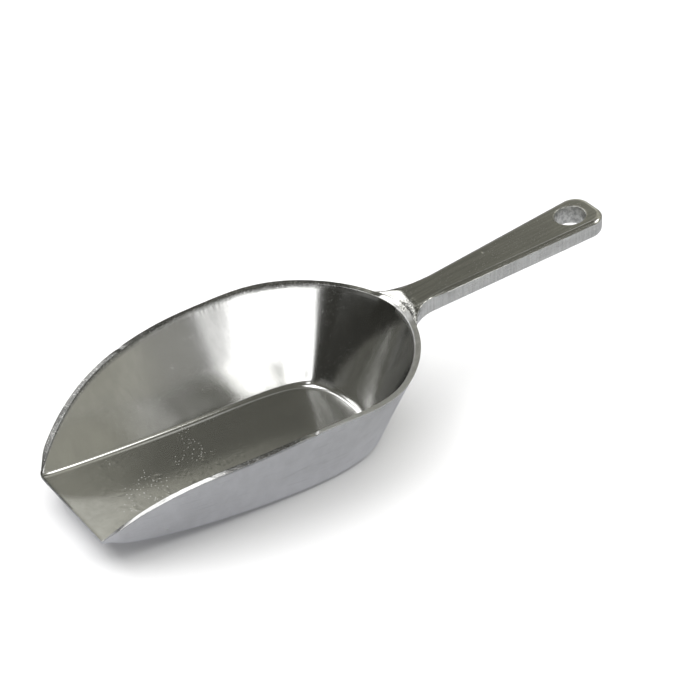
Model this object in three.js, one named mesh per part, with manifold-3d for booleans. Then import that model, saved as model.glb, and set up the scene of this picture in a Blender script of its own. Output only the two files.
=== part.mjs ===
// Feed scoop, 140 mm long: one aluminium casting with an open-fronted bowl and a flat bar handle.
// The casting is divided into its two regions, bowl and handle, on a flat plane across the neck.
// Millimetres. +X runs from the pouring lip to the handle's end, +Y across, +Z up.
// The scoop stands on its curved belly, and the middle of its length is at X = 0.
import * as THREE from 'three';
import { NURBSCurve } from 'three/addons/curves/NURBSCurve.js';
import { mergeVertices } from 'three/addons/utils/BufferGeometryUtils.js';
import Module from 'manifold-3d';

const wasm = await Module();
wasm.setup();

// Driving dimensions. Distances along the scoop, called x below, are counted from the lip.
const OVERALL_LENGTH = 140;

const BELLY_X = 57;
const BELLY_RADIUS = 294;
const FLOOR_THICKNESS = 1.5;
const LIP_THICKNESS = 0.6;
const LIP_GRIND_LENGTH = 12;

// Half of the floor's edge, from the lip's corner to the middle of the back: [x, y].
const FLOOR_EDGE = [[0, 13.5], [20, 15.6], [40, 16.2], [60, 16.8], [71.5, 12.5], [71.5, 0]];

// Half of the rim's inner edge: [x, y, height above the table].
const RIM_EDGE = [
  [0, 13.9, 7.3], [9.7, 20.6, 18.9], [32, 27.6, 22.8], [50.5, 26.6, 23.7],
  [70.4, 28.7, 22.5], [84.5, 9.8, 23.3], [84.5, 0, 23.3],
];
const RIM_WIDTH = 1.4;
const CORNER_WIDTH_SHARE = 0.25;
const CORNER_BLEND_LENGTH = 6;

// How far the underside's sharp edge stands outside the floor's edge.
const HEEL_AT_SIDE = 1.45;
const HEEL_AT_BACK = 2.6;
const HEEL_ROUNDING_AT_SIDE = 1.6;
const HEEL_ROUNDING_AT_BACK = 4;
const INNER_ROUNDING_AT_SIDE = 1;
const INNER_ROUNDING_AT_BACK = 2.2;

const HANDLE_TOP_AT_90 = 25;
const HANDLE_RISE = 3.9 / 50;
const HANDLE_HALF_WIDTH_AT_90 = 3.7;
const HANDLE_WIDENING = 2.6 / 50;
const HANDLE_THICKNESS = 4.55;
const HANDLE_SHOULDER = 0.9;
const HANDLE_CORNER_RADIUS = 4.4;
const HANG_HOLE_X = 133.1;
const HANG_HOLE_RADIUS = 3.65;
const HANG_HOLE_TAPER = 0.25;

const NECK_ROOT_X = 80;
const NECK_FILLET_X = 92;
const NECK_FILLET_RADIUS = 8.5;
const NECK_FILLET_START_DEGREES = 205;
const NECK_HOLLOW_START_X = 85.8;
const NECK_HOLLOW_END_X = 89.3;
const REAR_RIM_HEIGHT = 23.35;
const SPLIT_X = 91;

// Sizes of the shapes that cut others, all well past what they cut.
const CAVITY_HEADROOM = 10;
const HOLE_CUT_DEPTH = 3 * HANDLE_THICKNESS;
const SPLIT_BLOCK_SIZE = 4 * OVERALL_LENGTH;

const STATIONS = 60;
const ROUNDING_STEPS = 4;
const MAX_ROUNDING_SHARE = 0.45;
const HANDLE_CURVE_STEPS = 8;
const NECK_HOLLOW_STEPS = 6;
const HOLE_SIDES = 48;
const MERGE_DISTANCE = 1e-4;
const TANGENT_STEP = 0.001;

const BOWL_LOOK = { color: 0xb9bab6, roughness: 0.3, metalness: 1 };
const HANDLE_LOOK = { color: 0xbdbdba, roughness: 0.35, metalness: 1 };

// ---- curves ----

// A cubic B-spline that starts at its first control point and ends at its last.
function bSpline(controls) {
  const degree = 3;
  const spans = controls.length - degree;
  const knots = [0, 0, 0];
  for (let i = 0; i <= spans; i++) {
    knots.push(i / spans);
  }
  knots.push(1, 1, 1);
  const points = controls.map(([x, y, z = 0]) => new THREE.Vector4(x, y, z, 1));
  return new NURBSCurve(degree, knots, points);
}

const floorEdge = bSpline(FLOOR_EDGE);
const rimEdge = bSpline(RIM_EDGE);

// The horizontal direction that points out of the bowl, square to a half outline. It is set
// straight across at the lip, which is cut square, and straight along at the middle of the back.
function outward(curve, t) {
  if (t === 0) {
    return new THREE.Vector3(0, 1, 0);
  }
  if (t === 1) {
    return new THREE.Vector3(1, 0, 0);
  }
  const before = curve.getPoint(t - TANGENT_STEP);
  const after = curve.getPoint(t + TANGENT_STEP);
  const along = after.sub(before);
  return new THREE.Vector3(-along.y, along.x, 0).normalize();
}

function moved(point, direction, distance) {
  return point.clone().addScaledVector(direction, distance);
}

function mirrored(point) {
  return new THREE.Vector3(point.x, -point.y, point.z);
}

// Points along the rounding of a sharp corner, from one side's point to the other's.
function rounded(from, corner, to) {
  return new THREE.QuadraticBezierCurve3(from, corner, to).getPoints(ROUNDING_STEPS);
}

// ---- closed meshes and boolean work ----

function solidFromTriangles(points, triangles) {
  const geometry = new THREE.BufferGeometry();
  geometry.setFromPoints(points);
  geometry.setIndex(triangles);
  return solidFromGeometry(geometry);
}

function solidFromGeometry(source) {
  const bare = source.clone();
  bare.deleteAttribute('normal');
  bare.deleteAttribute('uv');
  const geometry = mergeVertices(bare, MERGE_DISTANCE);
  const vertProperties = new Float32Array(geometry.attributes.position.array);
  const triVerts = new Uint32Array(withoutSlivers(geometry.index.array));
  return new wasm.Manifold(new wasm.Mesh({ numProp: 3, vertProperties, triVerts }));
}

// Drops the triangles that merging has closed to a line.
function withoutSlivers(index) {
  const kept = [];
  for (let i = 0; i < index.length; i += 3) {
    const [a, b, c] = index.slice(i, i + 3);
    if (a !== b && b !== c && c !== a) {
      kept.push(a, b, c);
    }
  }
  return kept;
}

function geometryFromSolid(solid) {
  const { numProp, vertProperties, triVerts } = solid.getMesh();
  const geometry = new THREE.BufferGeometry();
  const data = new THREE.InterleavedBuffer(new Float32Array(vertProperties), numProp);
  geometry.setAttribute('position', new THREE.InterleavedBufferAttribute(data, 3, 0));
  geometry.setIndex([...triVerts]);
  geometry.computeVertexNormals();
  return geometry;
}

// A block that fills one side of the plane across the neck.
function blockPastSplit(side) {
  const block = new THREE.BoxGeometry(SPLIT_BLOCK_SIZE, SPLIT_BLOCK_SIZE, SPLIT_BLOCK_SIZE);
  block.translate(SPLIT_X + side * SPLIT_BLOCK_SIZE / 2, 0, 0);
  return solidFromGeometry(block);
}

// ---- bowl ----

// Height of the underside above the table: a long curve, ground thinner towards the lip.
function undersideHeight(x) {
  const grind = Math.max(0, 1 - x / LIP_GRIND_LENGTH);
  const belly = (x - BELLY_X) ** 2 / (2 * BELLY_RADIUS);
  return belly + (FLOOR_THICKNESS - LIP_THICKNESS) * grind ** 2;
}

function floorHeight(x) {
  return (x - BELLY_X) ** 2 / (2 * BELLY_RADIUS) + FLOOR_THICKNESS;
}

// The four edges that the wall's section hangs on, at one station of the half outline.
function wallEdges(t) {
  const floor = floorEdge.getPoint(t);
  floor.z = floorHeight(floor.x);
  const rimInner = rimEdge.getPoint(t);

  const blend = THREE.MathUtils.smoothstep(floor.x, 0, CORNER_BLEND_LENGTH);
  const widthShare = THREE.MathUtils.lerp(CORNER_WIDTH_SHARE, 1, blend);
  const floorOut = outward(floorEdge, t);
  const backShare = floorOut.x ** 2;

  const rimOuter = moved(rimInner, outward(rimEdge, t), RIM_WIDTH * widthShare);
  const heel = THREE.MathUtils.lerp(HEEL_AT_SIDE, HEEL_AT_BACK, backShare) * widthShare;
  const under = moved(floor, floorOut, heel);
  under.z = undersideHeight(floor.x);

  return { floor, rimInner, rimOuter, under, floorOut, backShare };
}

function innerRounding({ floor, rimInner, floorOut, backShare }) {
  const up = rimInner.clone().sub(floor);
  const wanted = THREE.MathUtils.lerp(INNER_ROUNDING_AT_SIDE, INNER_ROUNDING_AT_BACK, backShare);
  const reach = Math.min(wanted, MAX_ROUNDING_SHARE * up.length());
  return rounded(moved(floor, up.normalize(), reach), floor, moved(floor, floorOut, -reach));
}

function outerRounding({ under, rimOuter, floorOut, backShare }) {
  const up = rimOuter.clone().sub(under);
  const wanted = THREE.MathUtils.lerp(HEEL_ROUNDING_AT_SIDE, HEEL_ROUNDING_AT_BACK, backShare);
  const reach = Math.min(wanted, MAX_ROUNDING_SHARE * up.length());
  return rounded(moved(under, floorOut, -reach), under, moved(under, up.normalize(), reach));
}

// Underside's edge, up the outside, over the flat rim, and down the inside to the floor.
function wallSection(t) {
  const edges = wallEdges(t);
  return [...outerRounding(edges), edges.rimOuter, edges.rimInner, ...innerRounding(edges)];
}

// The space inside the bowl, from the floor up the wall and straight on past the rim.
function cavitySection(t) {
  const edges = wallEdges(t);
  const up = edges.rimInner.clone().sub(edges.floor).normalize();
  return [...innerRounding(edges).reverse(), moved(edges.rimInner, up, CAVITY_HEADROOM)];
}

// A solid swept round the half outline and its mirror image, closed across from side to side
// by its first points, by its last points and by a flat face at the lip.
function sweptRound(sectionAt) {
  const sections = [];
  for (let i = 0; i <= STATIONS; i++) {
    sections.push(sectionAt(i / STATIONS));
  }
  const count = sections[0].length;
  const far = sections.flat();
  const points = [...far, ...far.map(mirrored)];
  const at = (station, i) => station * count + i;
  const nearAt = (station, i) => far.length + at(station, i);

  const triangles = [];
  const quad = (a, b, c, d) => triangles.push(a, b, c, a, c, d);
  for (let s = 0; s < STATIONS; s++) {
    for (let i = 0; i < count - 1; i++) {
      quad(at(s, i), at(s, i + 1), at(s + 1, i + 1), at(s + 1, i));
      quad(nearAt(s, i), nearAt(s + 1, i), nearAt(s + 1, i + 1), nearAt(s, i + 1));
    }
    quad(at(s, 0), at(s + 1, 0), nearAt(s + 1, 0), nearAt(s, 0));
    quad(at(s, count - 1), nearAt(s, count - 1), nearAt(s + 1, count - 1), at(s + 1, count - 1));
  }

  const lip = [...sections[0], ...sections[0].map(mirrored).reverse()];
  const lipIndex = [
    ...sections[0].map((_, i) => at(0, i)),
    ...sections[0].map((_, i) => nearAt(0, count - 1 - i)),
  ];
  const lipOutline = lip.map((point) => new THREE.Vector2(point.y, point.z));
  for (const [a, b, c] of THREE.ShapeUtils.triangulateShape(lipOutline, [])) {
    triangles.push(lipIndex[a], lipIndex[c], lipIndex[b]);
  }
  return solidFromTriangles(points, triangles);
}

// ---- handle and neck ----

function handleHalfWidth(x) {
  return HANDLE_HALF_WIDTH_AT_90 + HANDLE_WIDENING * (x - 90);
}

function handleTop(x) {
  return HANDLE_TOP_AT_90 + HANDLE_RISE * (x - 90);
}

// Half of the bar's outline seen from above, from the bowl's wall to its flat end.
function handleHalfOutline() {
  const arm = new THREE.Path();
  const filletY = handleHalfWidth(NECK_FILLET_X) + NECK_FILLET_RADIUS;
  const filletStart = THREE.MathUtils.degToRad(NECK_FILLET_START_DEGREES);
  const rootX = NECK_FILLET_X + NECK_FILLET_RADIUS * Math.cos(filletStart);
  const rootY = filletY + NECK_FILLET_RADIUS * Math.sin(filletStart);
  arm.moveTo(NECK_ROOT_X, rootY);
  arm.lineTo(rootX, rootY);
  arm.absarc(NECK_FILLET_X, filletY, NECK_FILLET_RADIUS, filletStart, 1.5 * Math.PI);

  const cornerX = OVERALL_LENGTH - HANDLE_CORNER_RADIUS;
  const cornerY = handleHalfWidth(cornerX) - HANDLE_CORNER_RADIUS;
  arm.absarc(cornerX, cornerY, HANDLE_CORNER_RADIUS, Math.PI / 2, 0, true);
  return arm.getPoints(HANDLE_CURVE_STEPS);
}

// The whole bar, with its neck reaching into the bowl's wall, and rounded shoulders.
function barSolid() {
  const half = handleHalfOutline();
  const other = [...half].reverse().map((point) => new THREE.Vector2(point.x, -point.y));
  const outline = new THREE.Shape([...half, ...other]);
  const bar = new THREE.ExtrudeGeometry(outline, {
    depth: HANDLE_THICKNESS - 2 * HANDLE_SHOULDER,
    bevelThickness: HANDLE_SHOULDER,
    bevelSize: HANDLE_SHOULDER,
    bevelOffset: -HANDLE_SHOULDER,
    bevelSegments: ROUNDING_STEPS,
  });
  bar.translate(0, 0, HANDLE_SHOULDER - HANDLE_THICKNESS);
  bar.applyMatrix4(leanWithHandle());
  return solidFromGeometry(bar);
}

// Lifts a level shape into the handle's slope, keeping its distances along X.
function leanWithHandle() {
  const lean = new THREE.Matrix4().identity();
  lean.elements[2] = HANDLE_RISE;
  return lean.premultiply(new THREE.Matrix4().makeTranslation(0, 0, handleTop(0)));
}

// The hang hole's space: straight down through the bar, a little narrower at the bottom.
function hangHole() {
  const spread = HANG_HOLE_TAPER * HOLE_CUT_DEPTH / HANDLE_THICKNESS / 2;
  const hole = new THREE.CylinderGeometry(
    HANG_HOLE_RADIUS + spread, HANG_HOLE_RADIUS - spread, HOLE_CUT_DEPTH, HOLE_SIDES);
  hole.rotateX(Math.PI / 2);
  hole.translate(HANG_HOLE_X, 0, handleTop(HANG_HOLE_X));
  return solidFromGeometry(hole);
}

// The space above the neck: level over the rim, then a hollow that climbs to the bar's top.
function spaceAboveNeck() {
  const above = new THREE.Shape();
  const high = handleTop(OVERALL_LENGTH);
  const climb = NECK_HOLLOW_END_X - NECK_HOLLOW_START_X;
  above.moveTo(BELLY_X, REAR_RIM_HEIGHT);
  above.lineTo(NECK_HOLLOW_START_X, REAR_RIM_HEIGHT);
  above.quadraticCurveTo(
    NECK_HOLLOW_START_X + climb / 2, REAR_RIM_HEIGHT, NECK_HOLLOW_END_X, handleTop(NECK_HOLLOW_END_X));
  above.lineTo(NECK_HOLLOW_END_X, high);
  above.lineTo(BELLY_X, high);
  const depth = 2 * (handleHalfWidth(NECK_FILLET_X) + 2 * NECK_FILLET_RADIUS);
  const space = new THREE.ExtrudeGeometry(
    above, { depth, bevelEnabled: false, curveSegments: NECK_HOLLOW_STEPS });
  space.translate(0, 0, -depth / 2);
  space.rotateX(Math.PI / 2);
  return solidFromGeometry(space);
}

// ---- the two regions ----

function bowl() {
  const neck = barSolid()
    .subtract(blockPastSplit(1))
    .subtract(spaceAboveNeck())
    .subtract(sweptRound(cavitySection));
  const casting = sweptRound(wallSection).add(neck);
  return new THREE.Mesh(geometryFromSolid(casting), new THREE.MeshStandardMaterial(BOWL_LOOK));
}

function handle() {
  const casting = barSolid().subtract(blockPastSplit(-1)).subtract(hangHole());
  return new THREE.Mesh(geometryFromSolid(casting), new THREE.MeshStandardMaterial(HANDLE_LOOK));
}

const scoop = new THREE.Group();
for (const [name, region] of Object.entries({ bowl: bowl(), handle: handle() })) {
  region.name = name;
  scoop.add(region);
}
scoop.position.x = -OVERALL_LENGTH / 2;

export default scoop;
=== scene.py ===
"""Feed scoop: one polished aluminium casting on a plain pale floor, in soft studio light."""
import math

import bpy
import numpy as np
from mathutils import Matrix, Vector


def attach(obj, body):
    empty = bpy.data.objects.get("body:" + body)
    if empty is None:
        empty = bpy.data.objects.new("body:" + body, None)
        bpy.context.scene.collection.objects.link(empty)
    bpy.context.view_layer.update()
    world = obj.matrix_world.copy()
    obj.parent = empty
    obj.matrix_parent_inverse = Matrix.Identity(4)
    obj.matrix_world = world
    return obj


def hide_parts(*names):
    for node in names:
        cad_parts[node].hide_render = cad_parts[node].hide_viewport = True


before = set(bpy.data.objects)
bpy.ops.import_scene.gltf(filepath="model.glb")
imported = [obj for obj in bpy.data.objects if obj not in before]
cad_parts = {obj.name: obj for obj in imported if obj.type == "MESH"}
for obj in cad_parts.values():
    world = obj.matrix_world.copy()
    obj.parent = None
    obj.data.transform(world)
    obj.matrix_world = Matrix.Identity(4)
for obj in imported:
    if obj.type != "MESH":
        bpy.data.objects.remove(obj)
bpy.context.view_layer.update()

# ---- driving dimensions, in millimetres, as in the CAD part ----
# Distances along the scoop, called x, are counted from the lip. The frame's X = 0 is the
# middle of the length.
MM = 0.001
LENGTH = 140.0

BELLY_X = 57.0
BELLY_RADIUS = 294.0
FLOOR_THICKNESS = 1.5
LIP_THICKNESS = 0.6
LIP_GRIND_LENGTH = 12.0

# Half of the floor's edge and of the rim's inner edge, from the lip to the middle of the back, as
# spline control points. Their values come from a least-squares fit to the outlines in the photo,
# rounded to 0.1 mm. Most single sizes here and the camera's place and lens come from it too.
FLOOR_EDGE = ((0, 13.5), (20, 15.6), (40, 16.2), (60, 16.8), (71.5, 12.5), (71.5, 0))
RIM_EDGE = (
    (0, 13.9, 7.3), (9.7, 20.6, 18.9), (32, 27.6, 22.8), (50.5, 26.6, 23.7),
    (70.4, 28.7, 22.5), (84.5, 9.8, 23.3), (84.5, 0, 23.3),
)
RIM_WIDTH = 1.4
CORNER_WIDTH_SHARE = 0.25
CORNER_BLEND_LENGTH = 6.0

HEEL_AT_SIDE, HEEL_AT_BACK = 1.45, 2.6
HEEL_ROUNDING_AT_SIDE, HEEL_ROUNDING_AT_BACK = 1.6, 4.0
INNER_ROUNDING_AT_SIDE, INNER_ROUNDING_AT_BACK = 1.0, 3.2
INNER_ROUNDING_ON_FLOOR_AT_BACK = 0.8
RIM_ROUNDING = 0.16
MAX_ROUNDING_SHARE = 0.45       # the most of a wall's length that a rounding may take up
RIM_ROUNDING_SHARE_OF_RIM = 0.3
RIM_ROUNDING_SHARE_OF_WALL = 0.2

HANDLE_TOP_AT_90 = 25.0
HANDLE_RISE = 3.9 / 50
HANDLE_HALF_WIDTH_AT_90 = 3.7
HANDLE_WIDENING = 2.6 / 50
HANDLE_THICKNESS = 4.55
HANDLE_CORNER_RADIUS = 4.4
HANG_HOLE_X = 133.1
HANG_HOLE_RADIUS = 3.65
HANG_HOLE_TAPER = 0.25
NECK_FILLET_X = 92.0
NECK_FILLET_RADIUS = 8.5

# The part of the back wall that the neck's smooth copy of it is taken from.
BACK_WALL_STATIONS = (0.8, 1, 60)
BACK_WALL_SHARES = (0.4, 1.1, 12)
BACK_WALL_HALF_WIDTH = 15
BACK_WALL_LEAN = 0.52           # how far it leans out for each millimetre of height

# ---- finer shape, which only the visual model has ----
SHOULDER_RADIUS = 1.45          # the bar's rounded top edges, which the ground sides cut into
SHOULDER_RADIUS_AT_NECK = 0.3   # the edges are sharper where the neck flares out
SHOULDER_FADE_X = (88.0, 97.0)
SHOULDER_CUT = 0.14
UNDERSIDE_RADIUS = 0.8
SIDE_DRAFT = 0.068
HOLE_EDGE_RADIUS = 0.25
ROOT_FILLET = 1.2
INNER_HOLLOW = 0.45             # the wall is a little thinner here, inside, towards the rim
INNER_HOLLOW_X = 48.0
INNER_HOLLOW_LENGTH = 8.0
NECK_DROP_HALF_WIDTH = (3.0, 8.5)   # across the flare the neck's top comes down to the rim
NECK_DROP_X = (89.0, 93.0)
CREST_ROUNDING = 0.7
FLARE_END_HALF_WIDTH = (4.0, 10.5)   # across the flare the neck thins out from below
FLARE_END_THICKNESS = 2.2
FLARE_RUN_OUT_Y = 7.5           # beyond this the flare runs out under the rim's own outline
FLARE_RUN_OUT_SLOPE = 0.42
NECK_TILT_HALF_WIDTH = (4.0, 9.0)
RIM_LIFT_OUTSIDE = 0.4          # at the neck the ground rim leans up towards the handle
RIM_DROP_INSIDE = 0.1
FACET_SLOPE = 0.7               # the ground facet that climbs from the rim to the bar's top
FACET_STEEPENING = 0.12         # it climbs more steeply towards the near side
FACET_TURN_Y = 2.0
SUNK = 0.03                     # how far the handle piece lies under the bowl's own surface

# ---- marks in the metal that stand in the mesh, in millimetres ----
SKIN_WAVES = ((7.0, 0.014), (1.6, 0.0012))      # size and height of the casting's soft waves
GRIND_WAVES = ((0.5, 0.04), (1.4, 0.03))        # chatter left across the rim by the grinding belt
PIT_SIZE, PIT_DEPTH, PIT_LEVEL = 0.6, 0.045, 0.45
PIT_AREA = ((3, 14), (34, 62))                  # along x the floor's pits come in and thin out
PIT_EDGE_SHARE = (0.9, 0.97)                    # across the floor they stop short of its edges
FLOOR_MARKS_START_X = (0, 4)
RIM_MARKS_START_X = (0, 6)
WAVE_SOFTENING_POINTS = 5
CLUSTER_SIZE, CLUSTER_LEVELS = 5.0, (-0.15, 0.45)
RIM_NICKS = ((45.2, -28.0, 0.8, 0.35), (28.0, 26.5, 0.7, 0.2), (73.0, -20.5, 0.9, 0.2))
HANDLE_NICKS = ((110.0, 2.1, 0.5, 0.6), (106.6, -5.0, -1.8, 0.65))

# ---- where the material's regions begin and end ----
LIP_EDGE_X, LIP_EDGE_HEIGHT = (0.0, 0.6), (0.2, 0.6)
FLOOR_FACING, FLOOR_REACH = (0.8, 0.95), (0.3, 0.9)
OUTSIDE_FACING = (0.05, 0.3)
REAR_X = (71.0, 77.0)
# From here to the neck the near rim's ground darkening is undone by painted glints, over the real grinding
# chatter that also roughens it
PAINTED_GLINT_X = (38.0, 50.0)
# Where the ground rim's darkening is left out (on the neck's far half, and mostly near the lip on the near
# side): painted highlights
NECK_PAINTED_HIGHLIGHT_X, NECK_PAINTED_HIGHLIGHT_Y = (80.0, 82.5), (-0.5, 2.5)
LIP_PAINTED_HIGHLIGHT_X, LIP_PAINTED_HIGHLIGHT_SHARE = (20.0, 27.0), 0.8
HOLE_FADE, SIDE_FADE_FROM_HOLE = (0.1, 0.4), (0.5, 0.8)
SIDE_FACING = (0.15, 0.4)
# The facet's marks end across the middle of the neck, so its darker near half is painted shade; its rough
# spots are real
FACET_END_X, FACET_START_HEIGHT, FACET_PAINTED_SHADE_FADE_Y = (86.8, 89.2), (22.8, 23.2), (-1.5, 1.5)

# ---- how finely the meshes are drawn ----
STATIONS = 380
ROUNDING_POINTS = 9
WALL_POINTS = 18
RIM_POINTS = 6
FLOOR_STRIPS = 88
UNDERSIDE_STRIPS = 16
NET_STEP = 0.2
WALL_OVERLAP = 0.7              # how deep the handle piece reaches into the bowl's wall
NECK_REACH_ACROSS = 11.0
NECK_REACH_DOWN = 17.0
SHARP_ANGLE = math.radians(35)
FLOOR_HALF_SIZE = 3.0
WALL_SIDES = 96

# ---- the studio, in metres ----
PAPER_COLOUR = (0.86, 0.86, 0.87)
PAPER_HEIGHT = -0.0003
PAPER_LIGHT_SIZE, PAPER_LIGHT_ENERGY = 1.6, 17
TABLE_COLOUR = (0.88, 0.89, 0.96)
TABLE_GLOW, TABLE_GLOW_STRENGTH = (0.9, 0.92, 1, 1), 0.045
BACKDROP_RADIUS, BACKDROP_HEIGHT, BACKDROP_FOOT = 0.95, 1.2, -0.01
BACKDROP_GLOW_STRENGTH = 0.8


# ---- curves ----

def b_spline(controls, t):
    """Points at t, from 0 to 1, on the cubic B-spline that starts and ends on its end controls."""
    degree = 3
    controls = np.array(controls, float)
    spans = len(controls) - degree
    knots = np.concatenate(([0.0] * degree, np.linspace(0, 1, spans + 1), [1.0] * degree))
    t = np.clip(np.asarray(t, float), 0, 1 - 1e-9)[:, None]
    weights = ((knots[:-1] <= t) & (t < knots[1:])).astype(float)
    for order in range(1, degree + 1):
        count = len(knots) - 1 - order
        left_span = knots[order:order + count] - knots[:count]
        right_span = knots[order + 1:order + 1 + count] - knots[1:1 + count]
        left = (t - knots[:count]) / np.where(left_span > 0, left_span, 1)
        right = (knots[order + 1:order + 1 + count] - t) / np.where(right_span > 0, right_span, 1)
        weights = (np.where(left_span > 0, left, 0) * weights[:, :-1]
                   + np.where(right_span > 0, right, 0) * weights[:, 1:])
    return weights @ controls


def outward(curve):
    """The level directions that point out of the bowl, square to a half outline."""
    along = np.gradient(curve[:, :2], axis=0)
    out = np.stack((-along[:, 1], along[:, 0], np.zeros(len(curve))), axis=-1)
    out[0] = (0, 1, 0)
    out[-1] = (1, 0, 0)
    return out / np.linalg.norm(out, axis=1, keepdims=True)


def smoothstep(value, low, high):
    share = np.clip((value - low) / (high - low), 0, 1)
    return share * share * (3 - 2 * share)


def mix(a, b, share):
    return a + (b - a) * share


class Lumps:
    """Smooth random bumps in space, from -1 to 1, the same on every run."""

    SIDE = 32

    def __init__(self, seed):
        self.table = np.random.default_rng(seed).uniform(-1, 1, (self.SIDE,) * 3)

    def __call__(self, points, size):
        cell = np.floor(points / size)
        share = points / size - cell
        share = share * share * (3 - 2 * share)
        low = cell.astype(int) % self.SIDE
        high = (low + 1) % self.SIDE
        total = 0
        for corner in np.ndindex(2, 2, 2):
            index = tuple(np.where(corner, high, low).T)
            weight = np.where(corner, share, 1 - share).prod(axis=1)
            total = total + weight * self.table[index]
        return total


# ---- bowl ----

def belly_height(x):
    return (x - BELLY_X) ** 2 / (2 * BELLY_RADIUS)


def floor_height(x):
    return belly_height(x) + FLOOR_THICKNESS


def underside_height(x):
    grind = np.maximum(0, 1 - x / LIP_GRIND_LENGTH)
    return belly_height(x) + (FLOOR_THICKNESS - LIP_THICKNESS) * grind ** 2


def wall_edges(t):
    """The curves that the bowl's wall hangs on, one row for each station of the half outline."""
    floor = np.column_stack((b_spline(FLOOR_EDGE, t), np.zeros(len(t))))
    floor[:, 2] = floor_height(floor[:, 0])
    floor[-1, 1] = 0
    rim_inner = b_spline(RIM_EDGE, t)
    rim_inner[-1, 1] = 0
    floor_out = outward(floor)
    back = floor_out[:, :1] ** 2
    width_share = mix(CORNER_WIDTH_SHARE, 1, smoothstep(floor[:, :1], 0, CORNER_BLEND_LENGTH))
    rim_out = outward(rim_inner)
    rim_outer = rim_inner + rim_out * RIM_WIDTH * width_share
    hollow = np.exp(-((rim_inner[:, :1] - INNER_HOLLOW_X) / INNER_HOLLOW_LENGTH) ** 2)
    rim_inner = rim_inner + rim_out * INNER_HOLLOW * hollow
    at_neck = 1 - smoothstep(np.abs(rim_inner[:, 1]), *NECK_TILT_HALF_WIDTH)
    rim_outer[:, 2] += RIM_LIFT_OUTSIDE * at_neck
    rim_inner[:, 2] -= RIM_DROP_INSIDE * at_neck
    under = floor + floor_out * mix(HEEL_AT_SIDE, HEEL_AT_BACK, back) * width_share
    under[:, 2] = underside_height(floor[:, 0])
    return {"floor": floor, "rim_inner": rim_inner, "rim_outer": rim_outer, "under": under,
            "floor_out": floor_out, "back": back}


def unit(rows):
    return rows / np.maximum(np.linalg.norm(rows, axis=-1, keepdims=True), 1e-9)


def rounded(before, corner, after, reach, count, reach_after=None):
    """Points that round a corner off, from reach before it to reach_after after it."""
    start = corner + unit(before - corner) * reach
    end = corner + unit(after - corner) * (reach if reach_after is None else reach_after)
    share = np.linspace(0, 1, count)[:, None, None]
    return (1 - share) ** 2 * start + 2 * share * (1 - share) * corner + share ** 2 * end


def straight(start, end, count):
    share = np.linspace(0, 1, count + 2)[1:-1, None, None]
    return start + (end - start) * share


def bowl_sections():
    """Points of the wall's section at every station: underside, outside, rim, inside, floor."""
    edges = wall_edges(np.linspace(0, 1, STATIONS + 1))
    floor, under = edges["floor"], edges["under"]
    inner, outer = edges["rim_inner"], edges["rim_outer"]
    out, back = edges["floor_out"], edges["back"]
    wall_length = np.linalg.norm(inner - floor, axis=1, keepdims=True)
    outer_length = np.linalg.norm(outer - under, axis=1, keepdims=True)
    rim_width = np.linalg.norm(outer - inner, axis=1, keepdims=True)

    heel_reach = mix(HEEL_ROUNDING_AT_SIDE, HEEL_ROUNDING_AT_BACK, back)
    heel_reach = np.minimum(heel_reach, MAX_ROUNDING_SHARE * outer_length)
    inner_reach = mix(INNER_ROUNDING_AT_SIDE, INNER_ROUNDING_AT_BACK, back)
    inner_reach = np.minimum(inner_reach, MAX_ROUNDING_SHARE * wall_length)
    rim_reach = np.minimum(RIM_ROUNDING, RIM_ROUNDING_SHARE_OF_RIM * rim_width)
    rim_reach = np.minimum(rim_reach, RIM_ROUNDING_SHARE_OF_WALL * wall_length)

    heel = rounded(under - out, under, outer, heel_reach, ROUNDING_POINTS)
    outer_edge = rounded(under, outer, inner, rim_reach, ROUNDING_POINTS // 2)
    inner_edge = rounded(outer, inner, floor, rim_reach, ROUNDING_POINTS // 2)
    floor_reach = mix(INNER_ROUNDING_AT_SIDE, INNER_ROUNDING_ON_FLOOR_AT_BACK, back)
    corner = rounded(inner, floor, floor - out, inner_reach, ROUNDING_POINTS, floor_reach)
    rows = np.concatenate((
        heel, straight(heel[-1], outer_edge[0], WALL_POINTS),
        outer_edge, straight(outer_edge[-1], inner_edge[0], RIM_POINTS), inner_edge,
        straight(inner_edge[-1], corner[0], WALL_POINTS), corner))
    return rows.transpose(1, 0, 2), out[:, None]


def waves(points, sizes):
    """Soft random waves, from 0 to the sum of their heights."""
    flat = points.reshape(-1, 3)
    total = sum(height * (0.5 + 0.5 * cast_skin(flat, size)) for size, height in sizes)
    return total.reshape(points.shape[:-1])[..., None]


def wall_bands():
    """How much each row of a section belongs to the flat walls, and how much to the ground rim."""
    edge_points = ROUNDING_POINTS // 2
    counts = (ROUNDING_POINTS, WALL_POINTS, edge_points, RIM_POINTS, edge_points, WALL_POINTS,
              ROUNDING_POINTS)
    walls = np.repeat((0, 1, 0, 0, 0, 1, 0), counts)
    rim = np.repeat((0, 0, 1, 1, 1, 0, 0), counts)
    return walls, rim


def marked_wall(sheet, out):
    """A side of the wall with the casting's waves, the rim's grinding marks and its nicks."""
    walls, rim = wall_bands()
    window = np.ones(WAVE_SOFTENING_POINTS) / WAVE_SOFTENING_POINTS
    soften = np.convolve(walls, window, "same") * (walls > 0)
    sheet = sheet - out * waves(sheet, SKIN_WAVES) * soften[None, :, None]
    drop = waves(sheet, GRIND_WAVES)[..., 0]
    for x, y, radius, depth in RIM_NICKS:
        away = np.hypot(sheet[..., 0] - x, sheet[..., 1] - y) / radius
        drop = drop + depth * np.exp(-away ** 2)
    sheet[..., 2] -= drop * rim * smoothstep(sheet[..., 0], *RIM_MARKS_START_X)
    return sheet


def pit_amount(points):
    """How thickly the floor is pitted, from 0 to 1."""
    (first, full), (thinning, last) = PIT_AREA
    return smoothstep(points[:, 0], first, full) * (1 - smoothstep(points[:, 0], thinning, last))


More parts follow.
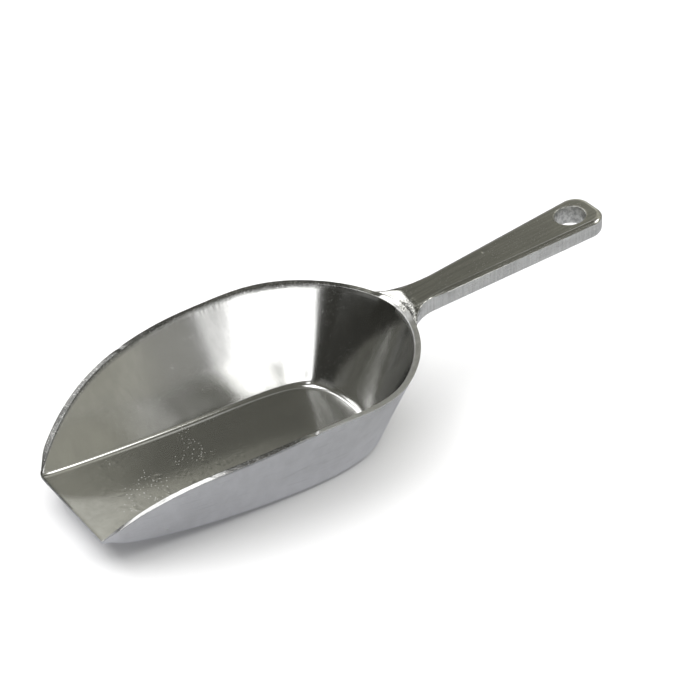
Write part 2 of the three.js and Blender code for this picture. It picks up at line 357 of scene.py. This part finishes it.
def pitted(sheet):
    """The floor with small pits, most of them in the half towards the lip."""
    points = sheet.reshape(-1, 3)
    pit = smoothstep(speckle(points, PIT_SIZE), PIT_LEVEL, 1) * pit_amount(points)
    edge_share = np.linspace(-1, 1, sheet.shape[1])
    inside = np.tile(1 - smoothstep(np.abs(edge_share), *PIT_EDGE_SHARE), sheet.shape[0])
    wave = waves(points, SKIN_WAVES)[:, 0]
    depth = (PIT_DEPTH * pit + wave) * inside * smoothstep(points[:, 0], *FLOOR_MARKS_START_X)
    return sheet - depth.reshape(sheet.shape[:2])[..., None] * np.array((0, 0, 1))


def grid_quads(index):
    """The quads between neighbouring rows and columns of a table of vertex numbers."""
    corners = (index[:-1, :-1], index[:-1, 1:], index[1:, 1:], index[1:, :-1])
    return np.stack(corners, axis=-1).reshape(-1, 4)


def bowl_shape():
    """The bowl's points and faces, and which points lie on the ground rim.

    It is a swept wall, with the floor, the underside and the lip across it.
    """
    sections, out = bowl_sections()
    count = sections.shape[1]
    mirror = np.array((1, -1, 1))
    far, near = marked_wall(sections, out), marked_wall(sections * mirror, out * mirror)

    def across(index, strips):
        edge = sections[:, index][:, None]
        share = np.linspace(1, -1, strips + 1)[None, :, None]
        return edge * np.concatenate((np.ones_like(share), share, np.ones_like(share)), axis=-1)

    floor, under = pitted(across(count - 1, FLOOR_STRIPS)), across(0, UNDERSIDE_STRIPS)
    sheets = (far, near[:, ::-1], floor, under[:, ::-1])
    points = np.concatenate([sheet.reshape(-1, 3) for sheet in sheets])
    indexes = []
    start = 0
    for sheet in sheets:
        size = sheet.shape[0] * sheet.shape[1]
        indexes.append(np.arange(start, start + size).reshape(sheet.shape[:2]))
        start += size
    far_index, near_index, floor_index, under_index = indexes
    quads = [grid_quads(index) for index in indexes]

    half = count // 2
    outside = far_index[0, :half]
    inside = far_index[0, ::-1][:half]
    quads.append(grid_quads(np.stack((inside, outside))))
    quads.append(grid_quads(np.stack((near_index[0, ::-1][:half], near_index[0, :half]))))
    lip = np.concatenate((floor_index[0], under_index[0]))
    on_rim = np.zeros(len(points))
    on_rim[far_index] = on_rim[near_index[:, ::-1]] = wall_bands()[1]
    return points, np.concatenate(quads).tolist() + [lip.tolist()], on_rim


def merged(points, faces, values):
    """The same shape with points at one place made one, and the faces that closes left out."""
    points, first, index = np.unique(np.round(points, 4), axis=0, return_index=True, return_inverse=True)
    index = index.reshape(-1).tolist()
    rings = (list(dict.fromkeys(index[corner] for corner in face)) for face in faces)
    return points, [ring for ring in rings if len(ring) > 2], values[first]


# ---- neck and handle ----

def half_width(x):
    return HANDLE_HALF_WIDTH_AT_90 + HANDLE_WIDENING * (x - 90)


def handle_top(x):
    return HANDLE_TOP_AT_90 + HANDLE_RISE * (x - 90)


class BackWall:
    """The bowl's back wall near the neck, as smooth functions of height and distance across."""

    SAGS = (0, 2, 4)

    def __init__(self):
        edges = wall_edges(np.linspace(*BACK_WALL_STATIONS))
        rim = edges["rim_outer"]
        near = np.abs(rim[:, 1]) < BACK_WALL_HALF_WIDTH
        self.rim = np.linalg.lstsq(self.sags(rim[near, 1]), rim[near, 2], rcond=None)[0]
        share = np.linspace(*BACK_WALL_SHARES)[:, None, None]
        points = (edges["under"] + (rim - edges["under"]) * share).reshape(-1, 3)
        points = points[np.abs(points[:, 1]) < BACK_WALL_HALF_WIDTH]
        terms = self.terms(points[:, 1], points[:, 2])
        self.outer = np.linalg.lstsq(terms, points[:, 0], rcond=None)[0]

    def sags(self, across):
        return np.stack([across ** power for power in self.SAGS], axis=-1)

    def terms(self, across, height):
        sags = self.sags(across)
        return np.concatenate([sags * height[:, None] ** power for power in (0, 1, 2)], axis=-1)

    def rim_height(self, across):
        return self.sags(across) @ self.rim

    def outer_x(self, across, height):
        return self.terms(across, height) @ self.outer


def with_round_edge(a, b, radius):
    """Distance to what lies within both shapes, with the edge between them rounded."""
    a, b = a + radius, b + radius
    return np.minimum(np.maximum(a, b), 0) + np.hypot(np.maximum(a, 0), np.maximum(b, 0)) - radius


def with_fillet(a, b, radius):
    """Distance to two shapes joined, with the inner corner between them filled."""
    share = np.clip(0.5 + 0.5 * (b - a) / radius, 0, 1)
    return mix(b, a, share) - radius * share * (1 - share)


back_wall = BackWall()
cast_skin = Lumps(1)
speckle = Lumps(2)


def handle_distance(points):
    """Distance from points to the surface of the handle with its neck, less than 0 inside."""
    x, y, z = points.T
    across = np.abs(y)
    rim_height = back_wall.rim_height(y)
    flare = smoothstep(across, *NECK_DROP_HALF_WIDTH) * (1 - smoothstep(x, *NECK_DROP_X))
    depth = mix(handle_top(x), rim_height, flare) - z

    fillet_y = half_width(NECK_FILLET_X) + NECK_FILLET_RADIUS
    fillet = NECK_FILLET_RADIUS - np.hypot(x - NECK_FILLET_X, across - fillet_y)
    fillet = np.where(across > fillet_y, x - NECK_FILLET_X + NECK_FILLET_RADIUS, fillet)
    side = np.where(x < NECK_FILLET_X, fillet, across - half_width(x))
    side = side + SIDE_DRAFT * np.maximum(depth - SHOULDER_RADIUS, 0)
    side = side + FLARE_RUN_OUT_SLOPE * np.maximum(across - FLARE_RUN_OUT_Y, 0)
    outline = with_round_edge(side, x - LENGTH, HANDLE_CORNER_RADIUS)

    shoulder = mix(SHOULDER_RADIUS_AT_NECK, SHOULDER_RADIUS, smoothstep(x, *SHOULDER_FADE_X))
    top = with_round_edge(outline - SHOULDER_CUT, -depth, shoulder)
    thinning = smoothstep(across, *FLARE_END_HALF_WIDTH) * (1 - smoothstep(x, *NECK_DROP_X))
    underside = handle_top(x) - z - mix(HANDLE_THICKNESS, FLARE_END_THICKNESS, thinning)
    bar = with_round_edge(np.maximum(top, outline), underside, UNDERSIDE_RADIUS)
    hole_radius = HANG_HOLE_RADIUS - HANG_HOLE_TAPER * depth / HANDLE_THICKNESS
    bar = with_round_edge(bar, hole_radius - np.hypot(x - HANG_HOLE_X, y), HOLE_EDGE_RADIUS)

    lean = np.hypot(1, BACK_WALL_LEAN)
    wall_x = back_wall.outer_x(y, z)
    body = with_fillet(bar, (x - wall_x + SUNK) / lean, ROOT_FILLET)

    run = x - back_wall.outer_x(y, rim_height)
    rim_slope = (RIM_LIFT_OUTSIDE + RIM_DROP_INSIDE) / RIM_WIDTH
    facet_slope = FACET_SLOPE + FACET_STEEPENING * np.maximum(FACET_TURN_Y - y, 0)
    slope = np.where(run > 0, facet_slope, rim_slope)
    above = (z - rim_height + SUNK - slope * run) / np.hypot(1, slope)
    body = np.maximum(body, -with_fillet(depth, -above, CREST_ROUNDING))
    body = np.maximum(body, (wall_x - WALL_OVERLAP - x) / lean)
    for nick_x, nick_y, nick_height, radius in HANDLE_NICKS:
        centre = np.array((nick_x, nick_y, handle_top(nick_x) + nick_height))
        body = np.maximum(body, radius - np.linalg.norm(points - centre, axis=1))
    body = np.maximum(body, across - NECK_REACH_ACROSS)
    return np.maximum(body, NECK_REACH_DOWN - z)


def net_of(distance, low, high, step):
    """Points and quads of the surface where distance is 0, drawn on a cubic grid."""
    axes = [np.arange(a, b + step, step) for a, b in zip(low, high)]
    shape = [len(axis) for axis in axes]
    grid = np.stack(np.meshgrid(*axes, indexing="ij"), axis=-1)
    value = distance(grid.reshape(-1, 3)).reshape(shape)
    inside = value < 0

    def corner(table, offset):
        return table[tuple(slice(o, o + n - 1) for o, n in zip(offset, shape))]

    offsets = list(np.ndindex(2, 2, 2))
    filled = sum(corner(inside, offset).astype(int) for offset in offsets)
    mixed = (filled > 0) & (filled < 8)
    number = np.full(mixed.shape, -1)
    number[mixed] = np.arange(mixed.sum())

    total = np.zeros((mixed.sum(), 3))
    crossings = np.zeros(mixed.sum())
    for a in offsets:
        for axis in range(3):
            if a[axis]:
                continue
            b = tuple(o + (i == axis) for i, o in enumerate(a))
            start, end = corner(value, a)[mixed], corner(value, b)[mixed]
            crossed = (start < 0) != (end < 0)
            share = np.where(crossed, start / np.where(crossed, start - end, 1), 0)
            place = np.tile(np.array(a, float), (len(share), 1))
            place[:, axis] += share
            total += place * crossed[:, None]
            crossings += crossed
    points = np.argwhere(mixed) + total / crossings[:, None]
    points = np.array(low) + points * step

    quads = []
    for axis in range(3):
        others = [(axis + 1) % 3, (axis + 2) % 3]
        ahead = np.take(inside, range(1, shape[axis]), axis=axis)
        behind = np.take(inside, range(shape[axis] - 1), axis=axis)
        for outwards in (True, False):
            edge = np.argwhere((behind & ~ahead) if outwards else (~behind & ahead))
            edge = edge[(edge[:, others] > 0).all(axis=1)]
            edge = edge[(edge[:, others] < np.array(shape)[others] - 1).all(axis=1)]
            ring = []
            for u, v in ((1, 1), (0, 1), (0, 0), (1, 0)):
                cell = edge.copy()
                cell[:, others[0]] -= u
                cell[:, others[1]] -= v
                ring.append(number[tuple(cell.T)])
            quads.append(np.stack(ring if outwards else ring[::-1], axis=-1))
    return points, np.concatenate(quads)


def slope_of(distance, points, probe=0.01):
    """How fast the distance grows along each axis."""
    rows = [distance(points + probe * side) - distance(points - probe * side) for side in np.eye(3)]
    return np.stack(rows, axis=-1) / (2 * probe)


def settled(points, distance, rounds=4):
    """The points moved onto the surface where distance is 0."""
    for _ in range(rounds):
        slope = slope_of(distance, points)
        steepness = np.maximum((slope ** 2).sum(axis=1), 0.25)
        points = points - slope * (distance(points) / steepness)[:, None]
    return points


def handle_shape():
    low = (83.0, -NECK_REACH_ACROSS - 1, NECK_REACH_DOWN - 1)
    high = (LENGTH + 1, NECK_REACH_ACROSS + 1, handle_top(LENGTH) + 1)
    points, quads = net_of(handle_distance, low, high, NET_STEP)
    points = settled(points, handle_distance)
    inward = -slope_of(handle_distance, points)
    return points + unit(inward) * waves(points, SKIN_WAVES), quads.tolist()


# ---- pieces ----

def new_piece(name, points, faces, node, material):
    """An object in the frame from a shape in millimetres, standing for a CAD node."""
    mesh = bpy.data.meshes.new(name)
    mesh.from_pydata(((points - (LENGTH / 2, 0, 0)) * MM).tolist(), [], faces)
    mesh.validate()
    mesh.shade_smooth()
    mesh.set_sharp_from_angle(angle=SHARP_ANGLE)
    mesh.materials.append(material)
    piece = bpy.data.objects.new(name, mesh)
    bpy.context.scene.collection.objects.link(piece)
    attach(piece, "root")
    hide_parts(node)
    return piece


def mark(piece, name, values):
    """A number for each point of the mesh, which the material uses to know the region."""
    layer = piece.data.attributes.new(name, "FLOAT", "POINT")
    layer.data.foreach_set("value", np.asarray(values, np.float32))


def mesh_points(piece):
    """The mesh's points in millimetres, with x counted from the lip, and their normals."""
    count = len(piece.data.vertices)
    points, normals = np.empty(count * 3), np.empty(count * 3)
    piece.data.vertices.foreach_get("co", points)
    piece.data.vertices.foreach_get("normal", normals)
    return points.reshape(-1, 3) / MM + (LENGTH / 2, 0, 0), normals.reshape(-1, 3)


class Tree:
    """A material's nodes."""

    def __init__(self, name):
        self.material = bpy.data.materials.new(name)
        self.material.use_nodes = True
        self.nodes = self.material.node_tree.nodes
        self.links = self.material.node_tree.links
        self.shader = self.nodes["Principled BSDF"]
        self.place = self.add("ShaderNodeTexCoord", {}, "Object")

    def add(self, kind, inputs, output=0, **settings):
        node = self.nodes.new(kind)
        for name, value in settings.items():
            setattr(node, name, value)
        for name, value in inputs.items():
            self.set(node.inputs[name], value)
        return node.outputs[output]

    def set(self, socket, value):
        if isinstance(value, bpy.types.NodeSocket):
            self.links.new(value, socket)
        else:
            socket.default_value = value

    def sums(self, operation, a, b):
        return self.add("ShaderNodeMath", {0: a, 1: b}, operation=operation)

    def region(self, name):
        return self.add("ShaderNodeAttribute", {}, "Fac", attribute_name=name)

    def noise(self, per_mm, detail=2.0, seed=0.0):
        """Noise from 0 to 1 with this many features to the millimetre along x, y and z."""
        scale = [value / MM for value in per_mm]
        place = self.add("ShaderNodeMapping", {
            "Vector": self.place, "Scale": scale, "Location": (seed, seed, seed)})
        return self.add("ShaderNodeTexNoise", {"Vector": place, "Scale": 1.0, "Detail": detail}, "Fac")

    def specks(self, per_mm, size, seed=0.0):
        """Small round specks, 1 in their middles and 0 between them."""
        place = self.add("ShaderNodeMapping", {
            "Vector": self.place, "Scale": [per_mm / MM] * 3, "Location": (seed, seed, seed)})
        away = self.add("ShaderNodeTexVoronoi", {"Vector": place, "Scale": 1.0}, "Distance")
        return self.ramp(away, size, size * 0.4)

    def ramp(self, value, start, end, low=0.0, high=1.0):
        inputs = {"Value": value, "From Min": start, "From Max": end, "To Min": low, "To Max": high}
        return self.add("ShaderNodeMapRange", inputs, interpolation_type="SMOOTHSTEP")

    def total(self, *terms):
        """The sum of terms, each a tuple of values that are multiplied together."""
        result = 0.0
        for term in terms:
            product = term[0]
            for factor in term[1:]:
                product = self.sums("MULTIPLY", product, factor)
            result = self.sums("ADD", result, product)
        return result

    def bump(self, height, depth, normal=None):
        """The surface with marks of this depth in millimetres where height goes from 0 to 1."""
        inputs = {"Height": height, "Distance": depth * MM, "Strength": 1.0}
        if normal is not None:
            inputs["Normal"] = normal
        return self.add("ShaderNodeBump", inputs)

    def finish(self, level, warmth, roughness, normal):
        """Metal whose colour is this grey level, tinted by warmth, the share of blue it keeps."""
        blue = self.sums("MULTIPLY", level, warmth)
        colour = self.add("ShaderNodeCombineColor", {"Red": level, "Green": level, "Blue": blue})
        self.set(self.shader.inputs["Base Color"], colour)
        self.set(self.shader.inputs["Roughness"], roughness)
        self.set(self.shader.inputs["Normal"], normal)
        self.shader.inputs["Metallic"].default_value = 1
        return self.material


def bowl_metal():
    """The bowl: bright rubbed skin with pits, scratches outside, and a ground rim and lip, with painted
    glints and highlights where parts of the rim are left light.
    """
    tree = Tree("bowl_aluminium")
    regions = ("ground", "outside", "rear", "chatter_and_painted_glint")
    ground, outside, rear, chatter_and_painted_glint = (tree.region(name) for name in regions)
    clouds = tree.noise((0.15, 0.15, 0.15), 4)
    grain = tree.noise((4, 4, 4), 3, seed=3)
    streaks = tree.noise((0.5, 0.5, 0.05), 3, seed=5)
    grinding = tree.noise((3.0, 3.0, 3.0), 3, seed=11)
    specks = tree.sums("MULTIPLY", tree.specks(2.0, 0.16, seed=7), tree.ramp(clouds, 0.4, 0.65))
    floor_pits = tree.sums("MULTIPLY", tree.specks(1.3, 0.22, seed=29), tree.region("pitting"))
    scratches = tree.ramp(tree.noise((0.12, 0.12, 3.5), 4, seed=17), 0.6, 0.72)
    fine_scratches = tree.ramp(tree.noise((0.9, 3.0, 0.25), 3, seed=23), 0.66, 0.74)

    # Along the near rim the level is lifted back up: painted glints; that region's roughness and chatter
    # bump are the grinding's own
    level = tree.total(
        (0.8,), (-0.04, tree.ramp(clouds, 0.3, 0.7)), (-0.04, tree.ramp(streaks, 0.35, 0.65)),
        (-0.08, rear, tree.ramp(streaks, 0.35, 0.65)), (-0.04, tree.ramp(grain, 0.35, 0.7)),
        (-0.12, specks), (-0.14, scratches, outside), (-0.5, ground, tree.ramp(grinding, 0.76, 0.52)),
        (0.42, chatter_and_painted_glint, tree.ramp(grinding, 0.76, 0.52)))
    roughness = tree.total(
        (0.07,), (0.05, clouds), (0.04, grain), (0.05, streaks), (0.25, specks), (0.3, floor_pits),
        (0.12, ground), (0.12, chatter_and_painted_glint), (0.06, outside), (0.08, fine_scratches))
    height = tree.total(
        (0.06, grain), (0.9, grain, rear), (0.25, streaks), (1.2, streaks, rear), (-0.5, specks),
        (-8.0, floor_pits), (-1.0, outside, scratches), (-0.5, fine_scratches))
    normal = tree.bump(height, 0.004)
    chatter = tree.total((grinding, ground), (3.0, grinding, chatter_and_painted_glint))
    normal = tree.bump(chatter, 0.02, normal)
    return tree.finish(level, 0.985, roughness, normal)


def handle_metal():
    """The handle: rubbed top, sides belt-ground up and down, a mottled hole, and a grainy ground facet
    whose darkening on its near half is painted shade.
    """
    tree = Tree("handle_aluminium")
    side, hole, facet = (tree.region(name) for name in ("side", "hole", "facet"))
    clouds = tree.noise((0.2, 0.2, 0.2), 4)
    grain = tree.noise((4, 4, 4), 3, seed=3)
    facet_grain = tree.noise((2.0, 2.0, 2.0), 3, seed=13)
    belt = tree.noise((3.2, 0.4, 0.1), 3, seed=5)
    mottle = tree.noise((1.3, 1.3, 1.3), 3, seed=9)
    specks = tree.sums("MULTIPLY", tree.specks(2.0, 0.16, seed=7), tree.ramp(clouds, 0.4, 0.65))
    scratches = tree.ramp(tree.noise((0.5, 3.2, 0.5), 4, seed=17), 0.62, 0.72)
    rubbing = tree.noise((0.06, 1.4, 0.4), 3, seed=19)

    # The facet's grainy darkening, on its near half only, is painted shade
    level = tree.total(
        (0.82,), (-0.1, tree.ramp(rubbing, 0.35, 0.65)), (-0.06, tree.ramp(clouds, 0.3, 0.7)),
        (-0.06, tree.ramp(grain, 0.35, 0.7)), (-0.12, specks),
        (-0.09, side, tree.ramp(belt, 0.4, 0.65)), (-0.24, hole, tree.ramp(mottle, 0.42, 0.62)),
        (-0.42, facet, tree.ramp(facet_grain, 0.6, 0.45)))
    roughness = tree.total(
        (0.11,), (0.06, clouds), (0.06, grain), (0.25, specks), (0.1, side), (0.12, hole),
        (0.1, facet), (0.06, scratches))
    height = tree.total((0.35, grain), (-1.0, specks), (-0.5, scratches), (0.6, rubbing), (3.5, side, belt))
    normal = tree.bump(height, 0.004)
    rough_spots = tree.total((hole, mottle), (0.8, facet, facet_grain))
    normal = tree.bump(rough_spots, 0.12, normal)
    return tree.finish(level, 0.955, roughness, normal)


def mark_bowl(bowl, on_rim):
    """Tells the bowl's material where it is ground, where its rim carries painted highlights and glints,
    where it is pitted, and where it is at the rear and outside.
    """
    points, normals = mesh_points(bowl)
    x, y = points[:, 0], points[:, 1]
    above_floor = points[:, 2] - floor_height(x)
    near_side = y < 0
    on_lip = (1 - smoothstep(x, *LIP_EDGE_X)) * (1 - smoothstep(above_floor, *LIP_EDGE_HEIGHT))
    on_floor = smoothstep(normals[:, 2], *FLOOR_FACING) * (1 - smoothstep(above_floor, *FLOOR_REACH))
    clusters = smoothstep(cast_skin(points, CLUSTER_SIZE), *CLUSTER_LEVELS)
    # The rim is left light on the neck's far half and near the lip on the near side: painted highlights
    neck_painted_highlight = smoothstep(x, *NECK_PAINTED_HIGHLIGHT_X) * smoothstep(y, *NECK_PAINTED_HIGHLIGHT_Y)
    lip_painted_highlight = (1 - smoothstep(x, *LIP_PAINTED_HIGHLIGHT_X)) * near_side
    ground = np.maximum(on_rim, on_lip) * (1 - neck_painted_highlight) * (1 - LIP_PAINTED_HIGHLIGHT_SHARE * lip_painted_highlight)
    mark(bowl, "ground", ground)
    mark(bowl, "rear", smoothstep(x, *REAR_X))
    # the near rim from the middle on: painted glints, with real grinding chatter
    mark(bowl, "chatter_and_painted_glint", on_rim * smoothstep(x, *PAINTED_GLINT_X) * near_side * (1 - neck_painted_highlight))
    mark(bowl, "pitting", on_floor * clusters * pit_amount(points))
    mark(bowl, "outside", smoothstep(-normals[:, 2], *OUTSIDE_FACING) * (1 - on_rim))


def mark_handle(handle):
    """Tells the handle's material where the hole, the ground sides and the facet are; the facet's marks
    stop at the middle, so its darkening paints shade on the near half only.
    """
    points, normals = mesh_points(handle)
    x, y, z = points.T
    from_hole = np.hypot(x - HANG_HOLE_X, y) - HANG_HOLE_RADIUS
    sideways = 1 - smoothstep(np.abs(normals[:, 2]), *SIDE_FACING)
    on_facet = (1 - smoothstep(x, *FACET_END_X)) * smoothstep(z, *FACET_START_HEIGHT)
    mark(handle, "hole", 1 - smoothstep(from_hole, *HOLE_FADE))
    mark(handle, "side", sideways * smoothstep(from_hole, *SIDE_FADE_FROM_HOLE))
    # the facet's near half only: painted shade, with real rough spots
    mark(handle, "facet", on_facet * (1 - smoothstep(y, *FACET_PAINTED_SHADE_FADE_Y)))


points, faces, on_rim = merged(*bowl_shape())
bowl = new_piece("bowl_casting", points, faces, "bowl", bowl_metal())
mark_bowl(bowl, on_rim)

handle = new_piece("handle_casting", *handle_shape(), "handle", handle_metal())
mark_handle(handle)


# ---- floor, light and camera ----

def stage_sheet(name, colour, height=0):
    """A wide level sheet under the scoop."""
    mesh = bpy.data.meshes.new(name)
    far = FLOOR_HALF_SIZE
    corners = [(-far, -far, height), (far, -far, height), (far, far, height), (-far, far, height)]
    mesh.from_pydata(corners, [], [(0, 1, 2, 3)])
    sheet = bpy.data.objects.new(name, mesh)
    bpy.context.scene.collection.objects.link(sheet)
    matt = bpy.data.materials.new(name)
    matt.use_nodes = True
    shader = matt.node_tree.nodes["Principled BSDF"]
    shader.inputs["Base Color"].default_value = (*colour, 1)
    shader.inputs["Roughness"].default_value = 1
    shader.inputs["Specular IOR Level"].default_value = 0
    mesh.materials.append(matt)
    return sheet


def stage_wall(name, radius, height):
    """A pale round wall behind the paper, which only the camera sees."""
    mesh = bpy.data.meshes.new(name)
    turns = [2 * math.pi * step / WALL_SIDES for step in range(WALL_SIDES)]
    ring = [(radius * math.cos(turn), radius * math.sin(turn)) for turn in turns]
    corners = [(*place, level) for level in (BACKDROP_FOOT, height) for place in ring]
    nexts = [(step + 1) % WALL_SIDES for step in range(WALL_SIDES)]
    faces = [(step, after, after + WALL_SIDES, step + WALL_SIDES) for step, after in enumerate(nexts)]
    mesh.from_pydata(corners, [], faces)
    wall = bpy.data.objects.new(name, mesh)
    bpy.context.scene.collection.objects.link(wall)
    pale = bpy.data.materials.new(name)
    pale.use_nodes = True
    shader = pale.node_tree.nodes["Principled BSDF"]
    shader.inputs["Base Color"].default_value = (*PAPER_COLOUR, 1)
    shader.inputs["Emission Color"].default_value = (1, 1, 1, 1)
    shader.inputs["Emission Strength"].default_value = BACKDROP_GLOW_STRENGTH
    mesh.materials.append(pale)
    wall.visible_glossy = wall.visible_diffuse = wall.visible_shadow = False
    wall.visible_transmission = False


def toward(azimuth, elevation):
    """The direction at these angles: azimuth from +X towards +Y, elevation from the floor."""
    azimuth, elevation = math.radians(azimuth), math.radians(elevation)
    flat = math.cos(elevation)
    return Vector((math.cos(azimuth) * flat, math.sin(azimuth) * flat, math.sin(elevation)))


def softbox(name, azimuths, elevations, radiance, distance=1.0):
    """A rectangular light that faces the scoop and spans these angles as the scoop sees them."""
    direction = toward(sum(azimuths) / 2, sum(elevations) / 2)
    half_across = math.radians(azimuths[1] - azimuths[0]) / 2
    half_up = math.radians(elevations[1] - elevations[0]) / 2
    half_across = math.atan(math.tan(half_across) * math.hypot(direction.x, direction.y))
    light = bpy.data.lights.new(name, "AREA")
    light.shape = "RECTANGLE"
    light.size = 2 * distance * math.tan(half_across)
    light.size_y = 2 * distance * math.tan(half_up)
    light.energy = radiance * math.pi * light.size * light.size_y
    lamp = bpy.data.objects.new(name, light)
    facing = direction.to_track_quat("Z", "Y").to_matrix().to_4x4()
    lamp.matrix_world = Matrix.Translation(direction * distance) @ facing
    lamp.visible_camera = False
    bpy.context.scene.collection.objects.link(lamp)
    return lamp


# The floor that is seen is white paper. What the metal mirrors is a greyer table top, as dim as
# the walls round it, so that the scoop's sides don't take on the paper's full white.
paper = stage_sheet("white_paper", PAPER_COLOUR, height=PAPER_HEIGHT)
paper.visible_glossy = False
table = stage_sheet("grey_table", TABLE_COLOUR)
table_glow = table.active_material.node_tree.nodes["Principled BSDF"]
table_glow.inputs["Emission Color"].default_value = TABLE_GLOW
table_glow.inputs["Emission Strength"].default_value = TABLE_GLOW_STRENGTH
table.visible_camera = False
table.visible_diffuse = False
table.visible_shadow = False

# Name, azimuths, elevations and radiance. They stand where the metal mirrors something bright in
# the photo's view. An estimate of the light solved from the photo was the start, then trial.
SOFTBOXES = (
    ("front_softbox_1", (-152, -124), (7, 27), 1.75),
    ("front_softbox_2", (-124, -95), (7, 27), 1.75),
    ("front_softbox_3", (-95, -68.1), (7, 27), 1.75),
    ("high_softbox", (140, 200), (50, 73.5), 2.4),
    ("high_softbox_tip", (138, 170), (72, 79), 1.8),
    ("high_softbox_side", (129, 143), (64, 73.5), 1.8),
    ("back_softbox", (84, 124), (27, 57), 1.7),
    ("lip_rim_softbox", (88, 116), (7, 25), 1.6),
    ("right_softbox", (-46, -12), (30, 50), 2.2),
    ("upper_softbox_left", (44, 66), (57, 67), 0.2),
    ("upper_softbox_right", (28, 44), (53, 61), 0.45),
    ("upper_softbox_back", (70, 97), (60, 68), 0.35),
    ("glow_softbox", (-154, -146), (33, 44), 2.0),
    ("front_right_softbox", (-67.5, -57), (4, 28), 0.075),
    ("left_softbox", (158, 190), (18, 33), 0.1),
    ("lip_softbox", (38, 72), (14, 31), 0.22),
)
for name, azimuths, elevations, radiance in SOFTBOXES:
    softbox(name, azimuths, elevations, radiance)

stage_wall("white_backdrop", BACKDROP_RADIUS, BACKDROP_HEIGHT)

paper_light = softbox("paper_softbox", (0, 90), (90, 90), 1)
paper_light.data.size = paper_light.data.size_y = PAPER_LIGHT_SIZE
paper_light.data.energy = PAPER_LIGHT_ENERGY
paper_only = bpy.data.collections.new("paper_only")
paper_only.objects.link(paper)
paper_light.light_linking.receiver_collection = paper_only


def studio_world():
    """Dim walls all round, with a paler wall low down on the right."""
    world = bpy.data.worlds.new("studio")
    bpy.context.scene.world = world
    world.use_nodes = True
    nodes, links = world.node_tree.nodes, world.node_tree.links
    direction = nodes.new("ShaderNodeTexCoord")
    axes = nodes.new("ShaderNodeSeparateXYZ")
    links.new(direction.outputs["Generated"], axes.inputs[0])

    def ramp(axis, start, end, low, high):
        node = nodes.new("ShaderNodeMapRange")
        node.interpolation_type = "SMOOTHSTEP"
        values = (start, end, low, high)
        for name, value in zip(("From Min", "From Max", "To Min", "To Max"), values):
            node.inputs[name].default_value = value
        links.new(axes.outputs[axis], node.inputs["Value"])
        return node.outputs[0]

    def combine(operation, a, b):
        node = nodes.new("ShaderNodeMath")
        node.operation = operation
        links.new(a, node.inputs[0])
        links.new(b, node.inputs[1])
        return node.outputs[0]

    low_down = ramp("Z", 0.72, 0.88, 1, 0)
    on_the_right = ramp("X", 0.37, 0.54, 0, 0.3)
    walls = ramp("Z", 0.25, 0.6, 0.03, 0.13)
    level = combine("ADD", walls, combine("MULTIPLY", low_down, on_the_right))
    background = nodes["Background"]
    background.inputs["Color"].default_value = (1, 0.99, 0.85, 1)
    links.new(level, background.inputs["Strength"])


studio_world()

AZIMUTH, ELEVATION, ROLL = math.radians(-30.801), math.radians(35.586), math.radians(-4.035)
AIM = Vector((0.00547, 0.00616, 0.012))
CAMERA_DISTANCE = 0.5669
LENS, SENSOR_WIDTH = 128.82, 36
NEAREST_SEEN = 0.01

flat = math.cos(ELEVATION)
back = Vector((math.sin(AZIMUTH) * flat, -math.cos(AZIMUTH) * flat, math.sin(ELEVATION)))
level = Vector((math.cos(AZIMUTH), math.sin(AZIMUTH), 0))
upright = back.cross(level)
right = level * math.cos(ROLL) + upright * math.sin(ROLL)
up = upright * math.cos(ROLL) - level * math.sin(ROLL)
turn = Matrix((right, up, back)).transposed()
camera = bpy.data.objects.new("camera", bpy.data.cameras.new("camera"))
camera.data.lens = LENS
camera.data.sensor_width = SENSOR_WIDTH
camera.data.clip_start = NEAREST_SEEN
camera.matrix_world = Matrix.Translation(AIM + back * CAMERA_DISTANCE) @ turn.to_4x4()
bpy.context.scene.collection.objects.link(camera)
bpy.context.scene.camera = camera
bpy.context.scene.view_settings.view_transform = "Standard"
